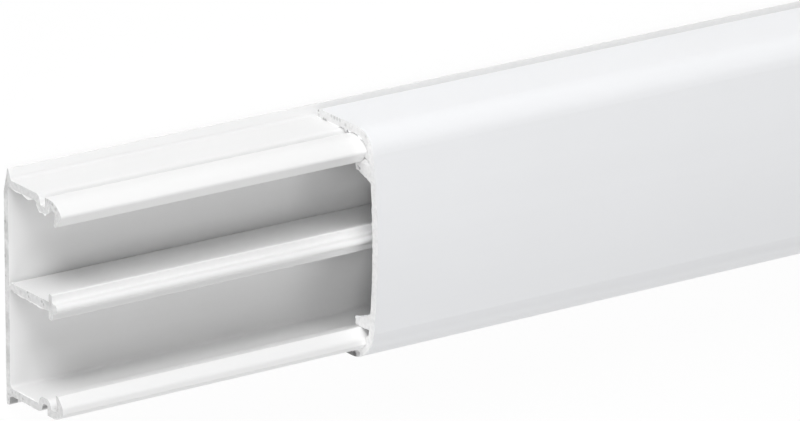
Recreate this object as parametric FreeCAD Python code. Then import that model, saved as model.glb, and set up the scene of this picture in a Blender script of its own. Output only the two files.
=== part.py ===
import FreeCAD, Part

import math
import os

# Cord cover raceway: a two-compartment channel and the cover that snaps over it.
# Both are extruded along X. The stick lies on its back plate, with the origin on the
# back face at mid length and mid height. +Y is the upper side on the wall and +Z is
# the depth out from the wall. A section point is written (y, z).

# Stock
stock_length = 400.0
cover_setback = 58.6
back_width = 40.4
overall_depth = 20.4

# Cover
cover_wall = 1.45
front_bow = 2.0
upper_corner_radius = 4.6
lower_corner_radius = 6.4
inner_corner_radius = 3.7
leg_edge_radius = 1.2

# Clearance between the cover and the channel all round
snap_gap = 0.12

# Channel
back_plate = 1.25
channel_wall = 1.3
root_fillet = 0.6

# Edge lips of the back plate, outside the channel's walls. They reach a little beyond
# the cover.
lip_reach = 0.2
upper_lip_front = 1.95
upper_lip_slope = 0.5
upper_bevel_length = 4.2
upper_bevel_depth = 1.2
lower_lip_thickness = 1.0
lower_lip_radius = 0.35
lip_fillet = 0.6

# Snap groove in each wall
groove_far_side = 12.4
groove_width = 1.5
groove_depth = 1.7
groove_radius = 0.25
groove_wall = 1.05
shoulder_radius = 1.2

# Mouth of the channel, between its two inturned hooks
mouth_width = 28.55
hook_drop = 4.85
upper_hook_slope = 50.0
lower_hook_slope = 48.0
hook_tip_width = 0.7
hook_tip_radius = 0.2
hook_back_rise = 0.7
upper_crest_radius = 0.5
lower_crest_radius = 0.8
upper_nose_relief = 0.6
lower_hook_height = 1.45

# Divider that parts the two compartments
divider_offset = 0.35
divider_foot = 1.2
divider_neck = 1.6
divider_head_back = 13.15
divider_head_thickness = 0.95
divider_head_width = 4.3
divider_head_chamfer = 0.15
bead_width = 1.4
bead_reach = 1.5
bead_upper_fillet = 0.5
bead_lower_fillet = 0.75
tear_notch_width = 0.55
tear_notch_depth = 0.5
divider_fillet = 0.5

# Snap beads and hook ribs inside the cover
snap_bead_height = 0.55
snap_bead_crest = 0.4
snap_bead_ramp = 0.6
snap_bead_play = 1.0
rib_length = 4.85
rib_tip_thickness = 1.2
rib_root_thickness = 3.1
rib_tip_radius = 0.25
rib_hollow = 0.25

# Worked out
back_half = back_width / 2
cover_half = back_half - lip_reach
bow_radius = (cover_half ** 2 + front_bow ** 2) / (2 * front_bow)
channel_inset = cover_wall + snap_gap
channel_half = cover_half - channel_inset
leg_start = upper_lip_front + lip_fillet + snap_gap
groove_near_side = groove_far_side - groove_width
hook_tip = overall_depth - hook_drop
overlap = 1.0


def at(y, z):
    """A point of the section, in the plane of the stock's -X end."""
    return FreeCAD.Vector(-stock_length / 2, y, z)


def stick(wire):
    """A closed outline of the section, extruded over the whole stock."""
    return Part.Face(wire).extrude(FreeCAD.Vector(stock_length, 0, 0))


def polygon(points, side=1):
    """A stick with flat sides, mirrored where side is -1."""
    corners = [at(side * y, z) for y, z in points]
    return stick(Part.makePolygon(corners + corners[:1]))


def outline(*edges):
    """A stick bounded by the given lines and arcs in turn."""
    return stick(Part.Wire(list(edges)))


def arc(start, middle, end):
    return Part.Arc(start, middle, end).toShape()


def hood(inset, start, upper_radius, lower_radius):
    """A stick with the raceway's bowed front: two legs, and corners that run into the bow."""
    half = cover_half - inset
    crown = overall_depth - inset
    front_radius = bow_radius - inset
    bow_centre = crown - front_radius

    def corner(side, radius):
        """The start, middle and end of a corner, from the leg up to the bow."""
        across = half - radius
        up = bow_centre + math.sqrt((front_radius - radius) ** 2 - across ** 2)
        turn = math.atan2(up - bow_centre, across)
        return [
            at(side * (across + radius * math.cos(angle)), up + radius * math.sin(angle))
            for angle in (0, turn / 2, turn)
        ]

    upper = corner(1, upper_radius)
    lower = corner(-1, lower_radius)
    return outline(
        Part.makeLine(at(-half, start), at(half, start)),
        Part.makeLine(at(half, start), upper[0]),
        arc(*upper),
        arc(upper[2], at(0, crown), lower[2]),
        arc(*reversed(lower)),
        Part.makeLine(lower[0], at(-half, start)),
    )


def cover_outside(inset, start):
    """The cover's outer outline, or one a little inside it."""
    return hood(inset, start, upper_corner_radius - inset, lower_corner_radius - inset)


def inside(gap, start, upper_relief=0):
    """The cover's inner outline, or one a given distance inside it. Relief rounds its
    upper corner further."""
    radius = inner_corner_radius - gap
    return hood(cover_wall + gap, start, radius + upper_relief, radius)


def corner_piece(y, z, toward_y, toward_z, radius):
    """What lies between a square corner and its rounding: fused in, it fills an inside
    corner, and cut away, it rounds an outside one."""
    along = at(y + toward_y * radius, z)
    up = at(y, z + toward_z * radius)
    short = radius * (1 - math.sqrt(0.5))
    middle = at(y + toward_y * short, z + toward_z * short)
    return outline(
        Part.makeLine(at(y, z), along),
        arc(along, middle, up),
        Part.makeLine(up, at(y, z)),
    )


def trough(side, depth, low, high, radius):
    """A trough sunk from a wall's outer face, with its two deep corners rounded."""
    floor = channel_half - depth
    block = polygon([(channel_half, low), (floor, low), (floor, high), (channel_half, high)], side)
    near_corner = corner_piece(side * floor, low, side, 1, radius)
    far_corner = corner_piece(side * floor, high, side, -1, radius)
    return block.cut([near_corner, far_corner])


def edge_lips():
    """The back plate's edges, which stand beyond the walls and line up with the wall surface."""
    half = back_half
    upper = polygon([
        (channel_half - overlap, 0),
        (half, 0),
        (half, upper_lip_front - upper_lip_slope),
        (channel_half + lip_fillet, upper_lip_front),
        (channel_half - overlap, upper_lip_front),
    ])
    lower = polygon([
        (channel_half - overlap, 0),
        (half, 0),
        (half, lower_lip_thickness),
        (channel_half - overlap, lower_lip_thickness),
    ], -1)
    rounded = lower.cut([
        corner_piece(-half, 0, 1, 1, lower_lip_radius),
        corner_piece(-half, lower_lip_thickness, 1, -1, lower_lip_radius),
    ])
    upper_fillet = corner_piece(channel_half, upper_lip_front, 1, 1, lip_fillet)
    lower_fillet = corner_piece(-channel_half, lower_lip_thickness, -1, 1, lip_fillet)
    return [upper, rounded, upper_fillet, lower_fillet]


def upper_bevel():
    """What is cut from behind the upper lip, so that it leans forward to a thin edge."""
    half = back_half
    return polygon([
        (half - upper_bevel_length, 0),
        (half, upper_bevel_depth),
        (half, -overlap),
        (half - upper_bevel_length, -overlap),
    ])


def mouth():
    """The opening in front: its sides slope outwards, which undercuts both hooks."""
    half = mouth_width / 2
    height = overall_depth + overlap - hook_tip
    upper = half + height * math.tan(math.radians(upper_hook_slope))
    lower = half + height * math.tan(math.radians(lower_hook_slope))
    return polygon([
        (half, hook_tip),
        (upper, hook_tip + height),
        (-lower, hook_tip + height),
        (-half, hook_tip),
    ])


def lower_flat():
    """What is cut from in front of the lower hook, which leaves it flat there."""
    front = hook_tip + lower_hook_height
    return polygon([
        (0, front),
        (-channel_half, front),
        (-channel_half, overall_depth + overlap),
        (0, overall_depth + overlap),
    ])


def hook(side):
    """An inturned hook before its mouth is cut: thin at its tip and leaning back."""
    tip = mouth_width / 2
    back = hook_tip - hook_tip_width
    blank = polygon([
        (tip, overall_depth),
        (tip, back),
        (channel_half - channel_wall, back + hook_back_rise),
        (channel_half, back + hook_back_rise),
        (channel_half, overall_depth),
    ], side)
    rounding = corner_piece(side * tip, back, side, 1, hook_tip_radius)
    return blank.common(inside(snap_gap, 0, upper_nose_relief)).cut(rounding)


def hooked_channel():
    """The back plate and walls with their hooks. The crest of each hook is rounded: it is
    the foremost edge on its side, and the nearest to the mouth."""
    shell = inside(snap_gap, 0, upper_nose_relief)
    hollow = inside(snap_gap + channel_wall, back_plate, upper_nose_relief)
    body = shell.cut(hollow).fuse([hook(-1), hook(1)]).cut([mouth(), lower_flat()])
    body = body.removeSplitter()
    for side, radius in ((-1, lower_crest_radius), (1, upper_crest_radius)):
        edges = [edge for edge in body.Edges if side * edge.CenterOfMass.y > 0]
        crest = max(edges, key=lambda edge: (round(edge.CenterOfMass.z, 3), -side * edge.CenterOfMass.y))
        body = body.makeFillet(radius, [crest])
    return body


def divider():
    """The web between the compartments, with a T head, a front bead and a filled lower foot."""
    centre = divider_offset
    foot = divider_foot / 2
    neck = divider_neck / 2
    head = divider_head_width / 2
    head_front = divider_head_back + divider_head_thickness
    middle = divider_head_back + divider_head_thickness / 2
    chamfer = divider_head_chamfer
    web = polygon([
        (centre - foot, 0),
        (centre + foot, 0),
        (centre + neck, middle),
        (centre - neck, middle),
    ])
    bar = polygon([
        (centre - head, divider_head_back),
        (centre + head, divider_head_back),
        (centre + head, head_front - chamfer),
        (centre + head - chamfer, head_front),
        (centre - head + chamfer, head_front),
        (centre - head, head_front - chamfer),
    ])
    half = bead_width / 2
    shoulder = head_front + bead_reach - half
    bead = outline(
        Part.makeLine(at(centre - half, middle), at(centre + half, middle)),
        Part.makeLine(at(centre + half, middle), at(centre + half, shoulder)),
        arc(at(centre + half, shoulder), at(centre, shoulder + half), at(centre - half, shoulder)),
        Part.makeLine(at(centre - half, shoulder), at(centre - half, middle)),
    )
    foot_fillet = corner_piece(centre - foot, back_plate, -1, 1, divider_fillet)
    upper_fillet = corner_piece(centre + half, head_front, 1, 1, bead_upper_fillet)
    lower_fillet = corner_piece(centre - half, head_front, -1, 1, bead_lower_fillet)
    return [web, bar, bead, foot_fillet, upper_fillet, lower_fillet]


def tear_notch():
    """The notch along the divider's upper foot, where it can be torn away."""
    face = divider_offset + divider_foot / 2
    return polygon([
        (face + tear_notch_width, back_plate),
        (face - tear_notch_depth, back_plate),
        (face - tear_notch_depth, back_plate + tear_notch_width / 2),
        (face + tear_notch_width, back_plate + 2 * tear_notch_width),
    ])


def base_channel():
    """The channel: back plate, walls folded into snap grooves, hooks and divider."""
    wall_face = channel_half - channel_wall
    added = edge_lips() + divider()
    removed = [upper_bevel(), tear_notch()]
    for side in (-1, 1):
        low = groove_near_side
        high = groove_far_side
        added.append(trough(side, groove_depth + groove_wall, low - groove_wall,
                            high + groove_wall, groove_radius + groove_wall))
        added.append(corner_piece(side * wall_face, back_plate, -side, 1, root_fillet))
        removed.append(trough(side, groove_depth, low, high, groove_radius))
        removed.append(corner_piece(side * channel_half, low, -side, -1, shoulder_radius))
    return hooked_channel().fuse(added).cut(removed).removeSplitter()


def snap_bead(side):
    """The bead inside a leg of the cover, which drops into the channel's groove."""
    face = cover_half - cover_wall
    front = groove_far_side - snap_bead_play
    crest = face - snap_bead_height
    return polygon([
        (face + cover_wall / 2, front),
        (crest, front),
        (crest, front - snap_bead_crest),
        (face, front - snap_bead_crest - snap_bead_ramp),
        (face + cover_wall / 2, front - snap_bead_crest - snap_bead_ramp),
    ], side)


def hook_rib(side):
    """A rib behind the cover's front that closes over a hook of the channel."""
    outer = mouth_width / 2 - snap_gap
    inner = outer - rib_tip_thickness
    root = outer - rib_root_thickness
    front = overall_depth - cover_wall / 2
    face = overall_depth - cover_wall
    tip = face - rib_length
    middle = at(side * ((inner + root) / 2 + rib_hollow), (tip + face) / 2 + rib_hollow)
    blank = outline(
        Part.makeLine(at(side * root, front), at(side * outer, front)),
        Part.makeLine(at(side * outer, front), at(side * outer, tip)),
        Part.makeLine(at(side * outer, tip), at(side * inner, tip)),
        arc(at(side * inner, tip), middle, at(side * root, face)),
        Part.makeLine(at(side * root, face), at(side * root, front)),
    )
    rounding = corner_piece(side * outer, tip, -side, 1, rib_tip_radius)
    return blank.common(cover_outside(cover_wall / 2, leg_start)).cut(rounding)


def snap_cover():
    """The cover: a bowed front, two legs, and a snap bead and a hook rib on each side."""
    body = cover_outside(0, leg_start).cut(inside(0, leg_start - overlap))
    added = []
    removed = []
    for side in (-1, 1):
        added.append(snap_bead(side))
        added.append(hook_rib(side))
        removed.append(corner_piece(side * cover_half, leg_start, -side, 1, leg_edge_radius))
    removed.append(Part.makeBox(cover_setback, back_width, overall_depth, at(-back_half, 0)))
    return body.fuse(added).cut(removed).removeSplitter()


os.makedirs("parts", exist_ok=True)
pieces = {"base_channel": base_channel(), "snap_cover": snap_cover()}
for name, shape in pieces.items():
    shape.exportStep("parts/" + name + ".step")
    print(name, len(shape.Solids), "solid", shape.isValid(), round(shape.Volume), shape.BoundBox)
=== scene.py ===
import math
import random

import bpy
from mathutils import Matrix, Vector


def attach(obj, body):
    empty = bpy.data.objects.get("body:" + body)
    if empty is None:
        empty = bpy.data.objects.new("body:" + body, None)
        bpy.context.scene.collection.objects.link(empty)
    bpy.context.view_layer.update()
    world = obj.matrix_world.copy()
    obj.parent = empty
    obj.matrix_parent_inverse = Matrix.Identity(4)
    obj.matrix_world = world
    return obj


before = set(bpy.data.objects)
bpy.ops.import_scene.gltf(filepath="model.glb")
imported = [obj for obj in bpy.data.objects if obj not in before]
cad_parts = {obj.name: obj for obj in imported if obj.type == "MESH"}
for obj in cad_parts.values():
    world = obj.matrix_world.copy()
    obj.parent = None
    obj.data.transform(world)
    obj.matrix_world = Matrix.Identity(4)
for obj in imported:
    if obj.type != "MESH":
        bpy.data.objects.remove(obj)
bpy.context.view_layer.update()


# The channel is one extrusion of white rigid PVC: back plate, folded walls, hooks and a
# dividing rib. The die leaves faint lines along it, and a fine saw leaves its two ends
# matt, greyer and lightly scored.

millimetre = 0.001
pvc_refraction = 1.53
squarely = 0.9  # a face is part of a sawn end where its normal's X is beyond this


class Amount:
    """A number that varies over a surface. Arithmetic on it adds Math nodes."""

    def __init__(self, finish, socket):
        self.finish = finish
        self.socket = socket

    def reckon(self, operation, first, second=None):
        values = {0: first} if second is None else {0: first, 1: second}
        return self.finish.node("ShaderNodeMath", {"operation": operation}, values)["Value"]

    def __add__(self, other):
        return self.reckon("ADD", self, other)

    __radd__ = __add__

    def __sub__(self, other):
        return self.reckon("SUBTRACT", self, other)

    def __rsub__(self, other):
        return self.reckon("SUBTRACT", other, self)

    def __mul__(self, other):
        return self.reckon("MULTIPLY", self, other)

    __rmul__ = __mul__

    def __gt__(self, other):
        return self.reckon("GREATER_THAN", self, other)

    def __lt__(self, other):
        return self.reckon("LESS_THAN", self, other)

    def __abs__(self):
        return self.reckon("ABSOLUTE", self)

    def or_more(self, other):
        return self.reckon("MAXIMUM", self, other)


class Finish:
    """One material and the nodes that make it."""

    def __init__(self, name):
        self.material = bpy.data.materials.new(name)
        self.material.use_nodes = True
        self.tree = self.material.node_tree
        self.tree.nodes.clear()

    def node(self, kind, settings=None, sockets=None):
        """Adds a node, settings first, then its sockets' values or links."""
        made = self.tree.nodes.new(kind)
        for name, value in (settings or {}).items():
            setattr(made, name, value)
        for name, value in (sockets or {}).items():
            if isinstance(value, Amount):
                self.tree.links.new(value.socket, made.inputs[name])
            else:
                made.inputs[name].default_value = value
        return {output.name: Amount(self, output) for output in made.outputs if output.enabled}

    def place(self):
        """The place on the object, in metres."""
        return self.node("ShaderNodeTexCoord")["Object"]

    def along_stick(self, vector):
        """The part of a vector that points along the stick."""
        return self.node("ShaderNodeSeparateXYZ", {}, {0: vector})["X"]

    def vectors(self, operation, first, second):
        """Vector maths: the result is its Vector, or its Value for a distance."""
        return self.node("ShaderNodeVectorMath", {"operation": operation}, {0: first, 1: second})

    def noise(self, swells, detail):
        """Cloudy noise, with so many swells to the metre along each axis."""
        stretched = self.vectors("MULTIPLY", self.place(), swells)["Vector"]
        return self.node("ShaderNodeTexNoise", {}, {
            "Vector": stretched, "Scale": 1.0, "Detail": detail,
        })["Fac"]

    def blend(self, factor, first, second, blend_type="MIX"):
        """A colour between two, each of them a tuple or the output of another node."""
        ends = [end if isinstance(end, Amount) else (*end, 1.0) for end in (first, second)]
        return self.node("ShaderNodeMix", {"data_type": "RGBA", "blend_type": blend_type}, {
            0: factor, 6: ends[0], 7: ends[1],
        })["Result"]

    def darken(self, factor, colour, share):
        """A colour that drops to a share of itself where the factor is 1."""
        return self.blend(factor, colour, (share, share, share), "MULTIPLY")

    def inside(self, places):
        """How far a point of the section lies inside the nearest of some places, given as
        (y, z, reach) in millimetres. Their outlines are ragged."""
        notches = 6.0
        notch_depth = 0.5
        to_millimetres = (0.0, 1 / millimetre, 1 / millimetre)
        section = self.vectors("MULTIPLY", self.place(), to_millimetres)["Vector"]
        jolt = self.node("ShaderNodeTexNoise", {}, {
            "Vector": section, "Scale": notches, "Detail": 2.0,
        })["Color"]
        jolt = self.vectors("SUBTRACT", jolt, (0.5, 0.5, 0.5))["Vector"]
        jolt = self.vectors("MULTIPLY", jolt, (notch_depth, notch_depth, notch_depth))["Vector"]
        section = self.vectors("ADD", section, jolt)["Vector"]
        deepest = 0.0
        for y, z, reach in places:
            apart = self.vectors("DISTANCE", section, (0.0, y, z))["Value"]
            deepest = (1 - apart * (1 / reach)).or_more(deepest)
        return deepest


def open_end(node):
    """Where a node's -X end lies."""
    return min(corner.co.x for corner in node.data.vertices)


def coat(node, material):
    node.data.materials.clear()
    node.data.materials.append(material)


def extruded_pvc(name, node, white, sawn_dark, sawn_white, marks_and_painted_shade, painted_shade_places):
    """White rigid PVC: die lines along X, and sawn ends, matt and scored. The marks on the
    -X end are lists of places, each list with the share of its light that is left; some are
    nicks and specks, some painted shade. Painted shade also darkens the body in recesses round the
    given places, just inside that end."""
    # What is left of the colour in faint mottle, in painted shade and in the saw's pits
    mottle_left = 0.97
    painted_shade_left = 0.42
    pit_left = 0.85
    # How much sooner than at its centre a mark, or the painted shade near the end, comes to its
    # full depth
    mark_and_shade_spread = 2.0
    painted_shade_spread = 1.6
    painted_shade_length = 1.5 * millimetre
    grain_contrast = 2.4
    grain_drop = 0.7
    pit_level = 0.62
    pit_steepness = 5.0
    satin = 0.36
    sawn_matt = 0.35
    relief_depth = 0.06 * millimetre
    relief_strength = 0.35

    finish = Finish(name)
    facing = finish.along_stick(finish.node("ShaderNodeNewGeometry")["Normal"])
    sawn = abs(facing) > squarely
    marked_end = facing < -squarely
    die_lines = finish.noise((6.0, 900.0, 900.0), 3.0)
    ripple = finish.noise((25.0, 120.0, 120.0), 1.0)
    mottle = finish.noise((60.0, 60.0, 60.0), 3.0)
    grain = finish.noise((1400.0, 1400.0, 1400.0), 3.0)
    scores = finish.noise((1.0, 3800.0, 500.0), 2.0)
    pits = (finish.noise((900.0, 900.0, 900.0), 1.0) - pit_level).or_more(0.0) * pit_steepness

    body = finish.blend(mottle * 0.6 + die_lines * 0.4, [c * mottle_left for c in white], white)
    # Painted shade: just inside the -X end, the body darkens round the given places, in recesses
    # where shadow falls
    near_end = finish.along_stick(finish.place()) < open_end(node) + painted_shade_length
    body = finish.darken(near_end * finish.inside(painted_shade_places) * painted_shade_spread, body, painted_shade_left)

    cut = finish.blend(grain * grain_contrast - grain_drop, sawn_dark, sawn_white)
    cut = finish.darken(pits, cut, pit_left)
    dents = 0.0
    # Marks on the sawn end: nicks and specks, and some painted shade
    for share, places in marks_and_painted_shade:
        mark_or_painted_shade = marked_end * finish.inside(places)
        cut = finish.darken(mark_or_painted_shade * mark_and_shade_spread, cut, share)
        dents = mark_or_painted_shade * (1 - share) + dents

    extruded_relief = die_lines * 0.5 + ripple * 0.6
    sawn_relief = scores * 0.8 + grain * 0.9 - dents
    bump = finish.node("ShaderNodeBump", {}, {
        "Strength": relief_strength, "Distance": relief_depth,
        "Height": (1 - sawn) * extruded_relief + sawn * sawn_relief,
    })["Normal"]
    shader = finish.node("ShaderNodeBsdfPrincipled", {}, {
        "Base Color": finish.blend(sawn, body, cut),
        "Roughness": satin + die_lines * 0.08 + sawn * sawn_matt,
        "IOR": pvc_refraction, "Normal": bump,
    })["BSDF"]
    finish.node("ShaderNodeOutputMaterial", {}, {"Surface": shader})
    return finish.material


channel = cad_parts["base_channel"]
channel_white = (0.796, 0.796, 0.796)
channel_sawn_dark = (0.6, 0.6, 0.6)
channel_sawn_white = (0.73, 0.73, 0.73)
channel_marks = [
    # Broad faint shade on the back plate and the rib's head
    (0.84, [
        (17.0, 0.0, 2.4), (10.0, 0.0, 2.2), (5.0, 0.0, 2.2), (-6.0, 0.0, 2.2), (-12.0, 0.0, 2.2),
        (1.2, 13.0, 1.6),
    ]),
    # Nicks in the upper wall and at the rib's foot, and darker spots round the lower lip
    (0.8, [
        (18.1, 12.6, 0.3), (18.1, 13.2, 0.35), (18.0, 13.8, 0.3), (17.4, 15.6, 0.4),
        (1.8, 0.2, 0.3),
        (-18.4, 0.6, 0.3), (-19.3, 0.6, 0.3), (-17.8, 1.8, 0.25), (-17.5, 2.7, 0.25),
        (-17.9, 5.0, 0.3),
    ]),
    # Deeper nicks in the back plate, the rib and the upper wall
    (0.68, [
        (11.0, 0.3, 0.3), (5.1, 0.1, 0.35),
        (0.86, 6.8, 0.25), (0.2, 7.1, 0.25), (0.56, 11.1, 0.3), (0.2, 11.6, 0.3),
        (17.9, 14.6, 0.35),
    ]),
]
# Painted shade in the recess behind the lower lip and in the lower groove, just inside the -X end
channel_painted_shade = [(-19.4, 1.0, 1.0), (-17.6, 10.85, 0.7)]
coat(channel, extruded_pvc(
    "channel_pvc", channel, channel_white, channel_sawn_dark, channel_sawn_white,
    channel_marks, channel_painted_shade,
))


# The cover is a second extrusion of the same PVC, bowed in front, with two legs that
# spring over the channel's walls. It is sawn back at one end of the stick.

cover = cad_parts["snap_cover"]
cover_white = (0.796, 0.803, 0.818)
cover_sawn_dark = (0.84, 0.84, 0.84)
cover_sawn_white = (0.94, 0.94, 0.94)
cover_marks_and_painted_shade = [
    # Broad faint shade down the upper leg
    (0.84, [(19.3, 4.5, 3.8), (19.3, 9.0, 3.8), (19.3, 13.0, 3.5), (18.2, 16.0, 2.4)]),
    # Nicks in the upper leg
    (0.78, [
        (19.75, 7.0, 0.4), (19.7, 7.8, 0.45), (19.7, 8.6, 0.45), (19.65, 9.4, 0.4),
        (19.3, 11.0, 0.35), (18.8, 3.3, 0.4), (18.9, 16.9, 0.25),
    ]),
    # Deeper nicks at the upper leg's foot and at the tip of the upper hook rib
    (0.55, [
        (19.6, 3.2, 0.3), (18.65, 4.8, 0.25), (18.65, 5.3, 0.25),
        (13.2, 14.7, 0.3), (13.0, 15.1, 0.35),
    ]),
    # Painted shade: a dark patch on the lower leg's sawn face, where it lies in shadow under the
    # channel's lower wall and hook; the solid is not chipped there
    (0.26, [
        (-20.2, 10.4, 0.9), (-20.1, 11.2, 0.9), (-19.9, 12.0, 0.8), (-19.7, 12.9, 0.8),
        (-19.6, 13.7, 0.8),
    ]),
    # Painted shade, paler, at that patch's front end
    (0.62, [(-19.5, 14.0, 1.0), (-19.3, 14.5, 0.8), (-19.1, 15.0, 0.5)]),
]
# Painted shade in the corner beside the lower hook rib, just inside the -X end
cover_painted_shade = [(-14.5, 17.9, 0.5)]
coat(cover, extruded_pvc(
    "cover_pvc", cover, cover_white, cover_sawn_dark, cover_sawn_white,
    cover_marks_and_painted_shade, cover_painted_shade,
))


# Saw burrs cling to the edges of the channel's and the cover's sawn ends at -X: thin
# slivers and whiskers of the same PVC, torn and whitened where the teeth came out of the
# cut. They are fused to the plastic that they hang from, and nobody has scraped them off.

torn_white = (0.93, 0.93, 0.93)
torn_shade = 0.86


def torn_pvc(name):
    """PVC whitened by tearing: matt, with fine flecks."""
    finish = Finish(name)
    flecks = finish.noise((2600.0, 2600.0, 2600.0), 2.0)
    shader = finish.node("ShaderNodeBsdfPrincipled", {}, {
        "Base Color": finish.blend(flecks, [c * torn_shade for c in torn_white], torn_white),
        "Roughness": 0.5 + flecks * 0.25, "IOR": pvc_refraction,
    })["BSDF"]
    finish.node("ShaderNodeOutputMaterial", {}, {"Surface": shader})
    return finish.material


def sawn_outline(node):
    """The outline of a node's -X end as section points (y, z), in order round the solid."""
    flush = 0.01 * millimetre
    decimals = 7
    start = open_end(node)
    mesh = node.data
    sides = set()
    for face in mesh.polygons:
        if face.normal.x < -squarely and face.center.x < start + flush:
            corners = [mesh.vertices[index].co for index in face.vertices]
            points = [(round(corner.y, decimals), round(corner.z, decimals)) for corner in corners]
            sides.update(zip(points, points[1:] + points[:1]))
    # A side that two faces share is inside the end, and each of the others leads to the next
    follow = {first: second for first, second in sides if (second, first) not in sides}
    ring = [min(follow)]
    while follow[ring[-1]] != ring[0]:
        ring.append(follow[ring[-1]])
    return ring


def sampled(ring, step):
    """Points a step apart along an outline, each with the direction that leads off the solid."""
    points = []
    for first, second in zip(ring, ring[1:] + ring[:1]):
        run = Vector(second) - Vector(first)
        count = max(1, round(run.length / step))
        off = Vector((-run.y, run.x)).normalized()
        points += [(Vector(first) + run * (k / count), off) for k in range(count)]
    return points


def torn(count, chance):
    """Ragged heights, mostly from 0.3 to 1, which rise and fall over a few points."""
    span = 4
    fullness = 2.2
    heights = [chance.random() ** 2 for _ in range(count + span)]
    return [0.3 + 0.7 * sum(heights[k:k + span]) / fullness for k in range(count)]


def new_piece(name, corners, faces, material):
    """A mesh in one material, put in the scene."""
    mesh = bpy.data.meshes.new(name)
    mesh.from_pydata(corners, [], faces)
    mesh.materials.append(material)
    piece = bpy.data.objects.new(name, mesh)
    bpy.context.scene.collection.objects.link(piece)
    return piece


class Burrs:
    """The burrs of one sawn end, gathered in one mesh. Each is three-sided all along. The
    widths and lengths that are asked for are in millimetres, the sizes below in metres."""

    step = 0.00012  # between the points that a sliver is torn at
    rooted = 0.00006  # how far a sliver's root reaches into the solid
    front = 0.00001  # a sliver's front and back, behind the sawn face
    back = 0.00016
    curl = 0.00008  # how far a sliver's edge leans
    thread = 0.00005  # half of a whisker's thickness, and how far it is rooted
    thread_behind = 0.00008  # a whisker's root, behind the sawn face

    def __init__(self, node, seed):
        self.start = open_end(node)
        self.points = sampled(sawn_outline(node), self.step)
        self.chance = random.Random(seed)
        self.corners = []
        self.faces = []

    def stretch(self, box):
        """The outline's points inside a box (low y, low z, high y, high z) in millimetres."""
        low_y, low_z, high_y, high_z = (size * millimetre for size in box)
        inside = [low_y <= p.x <= high_y and low_z <= p.y <= high_z for p, off in self.points]
        begin = next(k for k in range(len(inside)) if inside[k] and not inside[k - 1])
        run = []
        while inside[(begin + len(run)) % len(inside)]:
            run.append(self.points[(begin + len(run)) % len(inside)])
        return run

    def walls(self, base, rings):
        """The three walls that join one ring of three corners to the next."""
        for ring in range(rings - 1):
            for side in range(3):
                a, b = base + 3 * ring + side, base + 3 * ring + (side + 1) % 3
                self.faces.append((a, a + 3, b + 3, b))

    def ribbon(self, box, width, flake=False, proud=0.0):
        """A torn sliver along an edge, or a flake that swells at its middle. One that is
        proud stands off the sawn face."""
        taper = 6  # a sliver rises over the first sixth of its length, and sinks over the last
        run = self.stretch(box)
        start = self.start - proud * millimetre
        heights = torn(len(run), self.chance)
        curls = torn(len(run), self.chance)
        base = len(self.corners)
        for k, (point, off) in enumerate(run):
            along = k / max(1, len(run) - 1)
            if flake:
                height = math.sin(math.pi * along) * (0.75 + 0.25 * heights[k])
            else:
                height = min(1.0, taper * along, taper * (1 - along)) * heights[k]
            root = point - off * self.rooted
            tip = point + off * (width * millimetre * height)
            lean = off.x * (0.5 + 0.5 * curls[k])
            self.corners.append((start + self.front + self.curl * (1 - lean), root.x, root.y))
            self.corners.append((start + self.back + self.curl * (1 - lean), root.x, root.y))
            self.corners.append((start + self.front + self.curl * (1 + lean), tip.x, tip.y))
        self.walls(base, len(run))
        last = base + 3 * (len(run) - 1)
        self.faces += [(base, base + 1, base + 2), (last + 2, last + 1, last)]

    def whiskers(self, box, count, length):
        """Bent threads, each thick where it leaves the edge and pointed at its tip."""
        rings = 3
        run = self.stretch(box)
        uniform = self.chance.uniform
        for _ in range(count):
            point, off = self.chance.choice(run)
            across = Vector((0.0, -off.y, off.x))
            away = Vector((uniform(0.0, 0.5), off.x, off.y))
            away += across * uniform(-0.9, 0.9)
            bend = Vector((uniform(0.0, 0.4), -off.y, off.x)) * uniform(-0.6, 0.6)
            reach = length * millimetre * uniform(0.4, 1.0)
            thick = self.thread * uniform(0.7, 1.3)
            root = Vector((
                self.start + self.thread_behind,
                point.x - off.x * self.thread, point.y - off.y * self.thread,
            ))
            base = len(self.corners)
            for ring in range(rings):
                out = reach * ring / rings
                middle = root + away * out + bend * (reach * (ring / rings) ** 2)
                girth = thick * (1 - ring / (rings + 1))
                self.corners.append(tuple(middle + across * girth))
                self.corners.append(tuple(middle - across * girth))
                self.corners.append(tuple(middle + Vector((girth, 0.0, 0.0))))
            self.corners.append(tuple(root + away * reach + bend * reach))
            self.walls(base, rings)
            last = base + 3 * (rings - 1)
            for side in range(3):
                self.faces.append((last + (side + 1) % 3, last + side, last + 3))
            self.faces.append((base, base + 1, base + 2))

    def fuse(self, name, material):
        """The gathered burrs as one piece that rides with the stick."""
        thing = new_piece(name, self.corners, self.faces, material)
        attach(thing, "root")


whitened = torn_pvc("torn_pvc")

rib_foot = (0.9, 1.2, 2.2, 2.4)

channel_burrs = Burrs(channel, seed=7)
# Inside the upper wall, from the back plate to the groove
channel_burrs.ribbon((16.9, 1.7, 17.4, 5.6), width=0.3)
channel_burrs.ribbon((16.9, 5.2, 17.4, 8.9), width=0.55, flake=True)
channel_burrs.ribbon((15.3, 8.8, 17.4, 13.6), width=0.26)
# Down the dividing rib's lower side, at its upper foot, and inside the lower wall
channel_burrs.ribbon((-0.7, 1.9, -0.2, 13.0), width=0.28)
channel_burrs.ribbon((-0.7, 9.0, -0.2, 11.6), width=0.36, flake=True)
channel_burrs.ribbon(rib_foot, width=0.24)
channel_burrs.ribbon((-17.3, 3.0, -16.9, 8.8), width=0.14)
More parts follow.
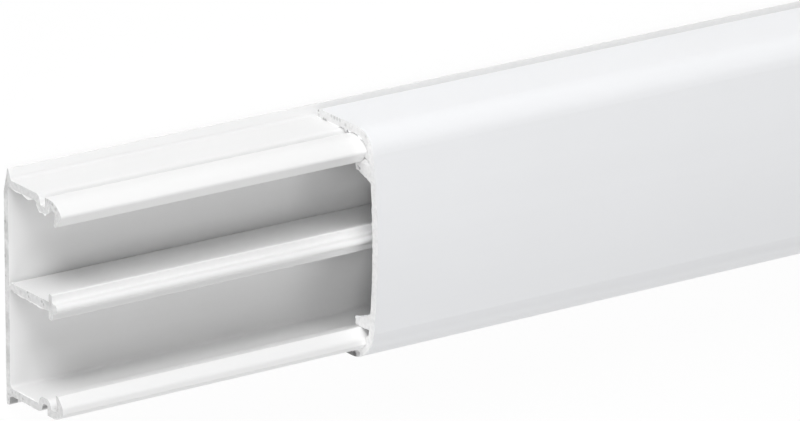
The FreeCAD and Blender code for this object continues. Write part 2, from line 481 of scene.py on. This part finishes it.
# Whiskers on the rib, inside the upper wall, and on the upper and the lower hook
channel_burrs.whiskers(rib_foot, count=6, length=0.35)
channel_burrs.whiskers((-0.7, 3.0, -0.2, 12.6), count=5, length=0.25)
channel_burrs.whiskers((16.9, 2.0, 17.4, 8.7), count=4, length=0.25)
channel_burrs.whiskers((14.0, 14.0, 18.6, 17.3), count=5, length=0.25)
channel_burrs.whiskers((-19.0, 12.0, -14.0, 17.3), count=8, length=0.3)
channel_burrs.fuse("channel_saw_burrs", whitened)

upper_hook_rib = (10.2, 14.0, 14.3, 18.9)
upper_hook_rib_tip = (12.8, 14.0, 14.3, 15.5)
lower_hook_rib = (-14.4, 14.0, -10.2, 18.9)

cover_burrs = Burrs(cover, seed=3)
# Inside the front, round the upper hook rib, and in the corner above it
cover_burrs.ribbon((-12.0, 18.0, 10.4, 19.2), width=0.3)
cover_burrs.ribbon(upper_hook_rib, width=0.45)
cover_burrs.ribbon((14.6, 17.2, 17.0, 18.0), width=1.4, flake=True)
cover_burrs.ribbon((14.1, 15.3, 14.2, 17.95), width=0.9, flake=True)
# Inside the upper leg, from its foot to its corner
cover_burrs.ribbon((18.3, 2.6, 18.8, 4.4), width=0.25, proud=0.12)
cover_burrs.ribbon((18.3, 5.8, 18.8, 9.6), width=0.25, proud=0.12)
cover_burrs.ribbon((18.3, 11.8, 18.8, 12.8), width=0.3, proud=0.12)
cover_burrs.ribbon((17.9, 14.6, 18.6, 15.9), width=0.3, proud=0.1)
# Round the lower hook rib, and in the corner below it
cover_burrs.ribbon(lower_hook_rib, width=0.25)
cover_burrs.ribbon((-18.7, 13.6, -17.0, 16.9), width=0.9, proud=0.12)
cover_burrs.ribbon((-17.3, 16.7, -15.2, 18.0), width=0.7, proud=0.12)
# Whiskers on the upper hook rib, the upper leg and the lower hook rib
cover_burrs.whiskers(upper_hook_rib, count=24, length=0.6)
cover_burrs.whiskers(upper_hook_rib_tip, count=10, length=0.6)
cover_burrs.whiskers((18.0, 2.3, 19.2, 3.2), count=10, length=0.35)
cover_burrs.whiskers((16.0, 2.4, 18.8, 9.5), count=14, length=0.4)
cover_burrs.whiskers(lower_hook_rib, count=10, length=0.35)
cover_burrs.fuse("cover_saw_burrs", whitened)


# A plain white paper floor lies under the stick and runs out of sight on all sides. It
# takes the stick's shadow, and shows as nearly pure white to the camera.

floor_reach = 6.0
floor_lit = (0.8, 0.8, 0.8)
floor_seen = (0.97, 0.97, 0.97)
floor_glow = 0.93

floor_finish = Finish("floor_white")
path = floor_finish.node("ShaderNodeLightPath")
seen = path["Is Camera Ray"] + path["Is Glossy Ray"] + path["Is Transmission Ray"]
paper = floor_finish.blend(path["Is Camera Ray"], floor_lit, floor_seen)
matt = floor_finish.node("ShaderNodeBsdfDiffuse", {}, {"Color": paper})["BSDF"]
white = floor_finish.node("ShaderNodeEmission", {}, {
    "Color": (1, 1, 1, 1), "Strength": 1.0,
})["Emission"]
both = floor_finish.node("ShaderNodeMixShader", {}, {
    0: seen * floor_glow, 1: matt, 2: white,
})["Shader"]
floor_finish.node("ShaderNodeOutputMaterial", {}, {"Surface": both})

floor_corners = [
    (-floor_reach, -floor_reach, 0), (floor_reach, -floor_reach, 0),
    (floor_reach, floor_reach, 0), (-floor_reach, floor_reach, 0),
]
floor = new_piece("studio_floor", floor_corners, [(0, 1, 2, 3)], floor_finish.material)


# Twelve broad soft lamps stand round the stick, turned to its cut back end. Five are
# beyond its upper side, three high over it, two low on the lower side, and one is at
# each end. The room itself gives next to no light.

softbox_side = 0.6
softbox_distance = 2.0
lit_place = Vector((-0.1, 0.0, 0.01))


def lamp(name, height, round_z, power):
    """A square softbox, at the given angles in degrees above the floor and round the Z axis."""
    light = bpy.data.lights.new(name, "AREA")
    light.shape = "SQUARE"
    light.size = softbox_side
    light.energy = power
    height, round_z = math.radians(height), math.radians(round_z)
    flat = math.cos(height)
    towards = Vector((flat * math.cos(round_z), flat * math.sin(round_z), math.sin(height)))
    thing = bpy.data.objects.new(name, light)
    thing.location = lit_place + towards * softbox_distance
    thing.rotation_euler = (-towards).to_track_quat("-Z", "Y").to_euler()
    bpy.context.scene.collection.objects.link(thing)


lamp("lower_softbox", height=18, round_z=270, power=11.4)
lamp("low_upper_softbox", height=14, round_z=120, power=8.6)
lamp("high_upper_softbox", height=36, round_z=120, power=9.2)
lamp("upper_side_softbox", height=36, round_z=90, power=7.0)
lamp("left_softbox", height=50, round_z=180, power=7.9)
lamp("upper_softbox", height=27, round_z=105, power=7.7)
lamp("front_left_softbox", height=65, round_z=240, power=7.7)
lamp("upper_left_softbox", height=50, round_z=150, power=5.6)
lamp("overhead_softbox", height=85, round_z=0, power=3.3)
lamp("end_softbox", height=8, round_z=180, power=4.2)
lamp("lower_right_softbox", height=8, round_z=300, power=3.0)
lamp("far_end_softbox", height=8, round_z=0, power=4.5)

room_glow = 0.01
room = bpy.data.worlds.new("pale_room")
room.use_nodes = True
room.node_tree.nodes["Background"].inputs["Color"].default_value = (1, 1, 1, 1)
room.node_tree.nodes["Background"].inputs["Strength"].default_value = room_glow
bpy.context.scene.world = room


# The camera looks down on the cut back end from the upper left, through a long lens, so
# that the stick's edges run nearly parallel. It crops the stick well short of its far end.

sensor_width = 36.0
focal_length = 334.845
camera_place = (-0.79077, 0.40019, 0.95929)
camera_right = Vector((0.82140, 0.00376, 0.57034))
camera_up = Vector((0.18271, 0.94554, -0.26938))
camera_back = Vector((-0.54030, 0.32547, 0.77598))

view = bpy.data.cameras.new("camera")
view.sensor_width = sensor_width
view.lens = focal_length
camera = bpy.data.objects.new("camera", view)
turn = Matrix((camera_right, camera_up, camera_back)).transposed()
camera.matrix_world = Matrix.Translation(camera_place) @ turn.to_4x4()
bpy.context.scene.collection.objects.link(camera)
bpy.context.scene.camera = camera

bpy.context.scene.view_settings.view_transform = "Standard"
